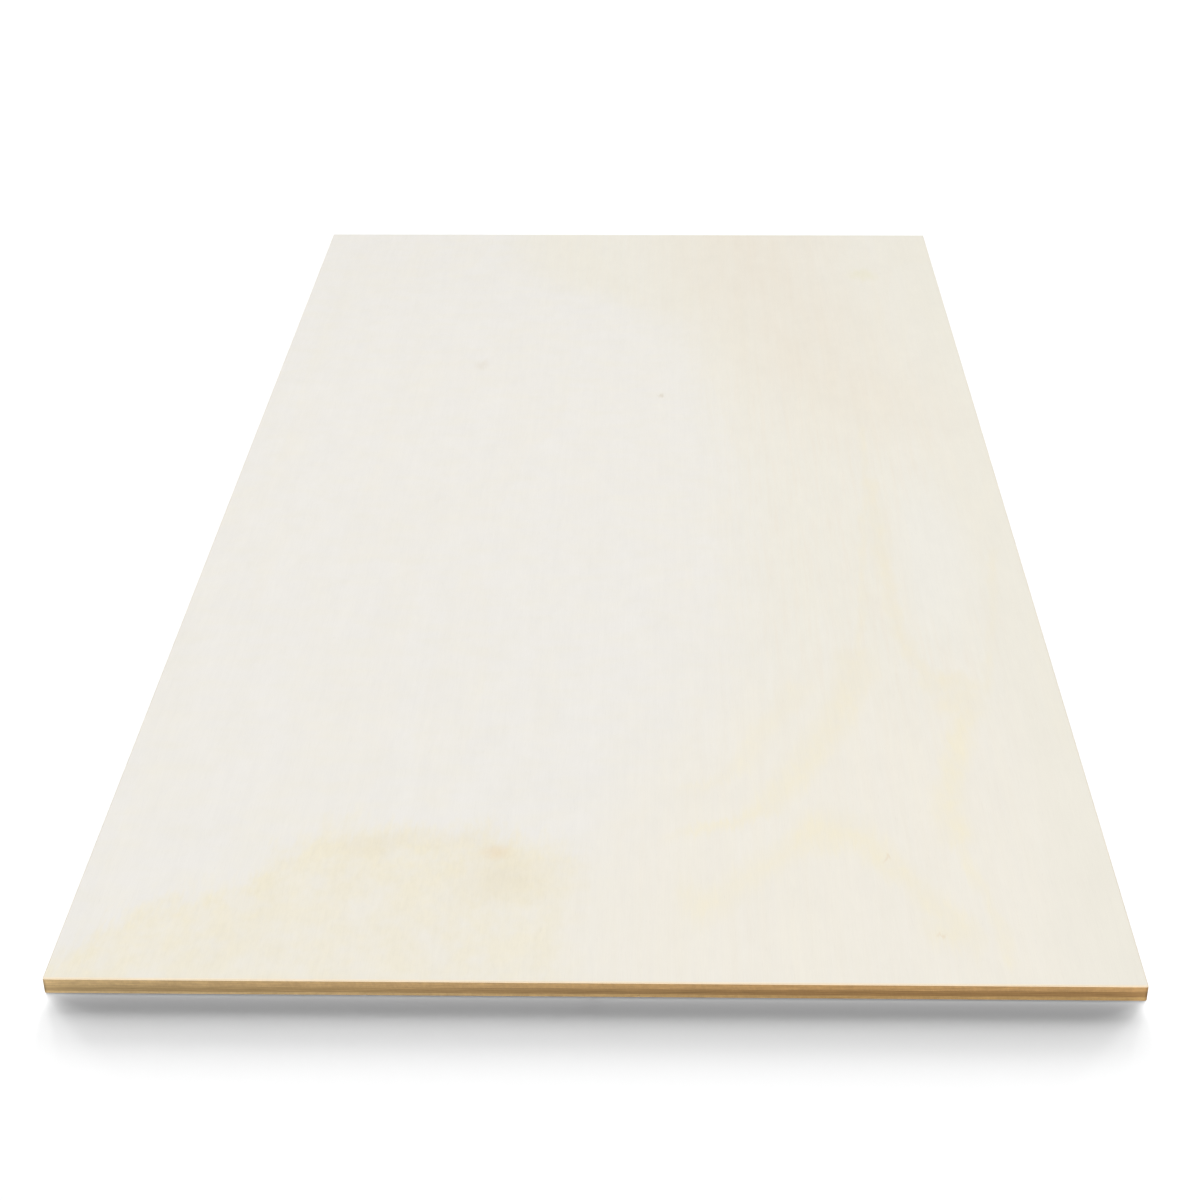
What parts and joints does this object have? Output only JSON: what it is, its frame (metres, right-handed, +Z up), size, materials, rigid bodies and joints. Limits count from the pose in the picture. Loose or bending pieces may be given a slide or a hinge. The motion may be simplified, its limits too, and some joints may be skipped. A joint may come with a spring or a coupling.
{
  "type": "plywood sheet",
  "caption": "Flat rectangular plywood panel of cross-laid rotary-cut veneers with a pale sanded face and sawn edges that show the plies, for panelling, shelving and joinery.",
  "frame": {"origin": "middle of the underside, on the surface that the sheet lies on", "axes": "+X across the sheet, +Y along its length and the face grain, +Z up through the plies"},
  "size_m": [0.61, 1.22, 0.01],
  "materials": {
    "face_wood": "pale rotary-cut veneer, sanded, bare",
    "core_wood": "brown core veneer, sawn at the edges, bare",
    "back_wood": "plain rotary-cut back veneer, sanded, bare"
  },
  "bodies": {
    "root": {"face_veneer": "face_wood", "core_veneer": "core_wood", "back_veneer": "back_wood"}
  },
  "joints": []
}
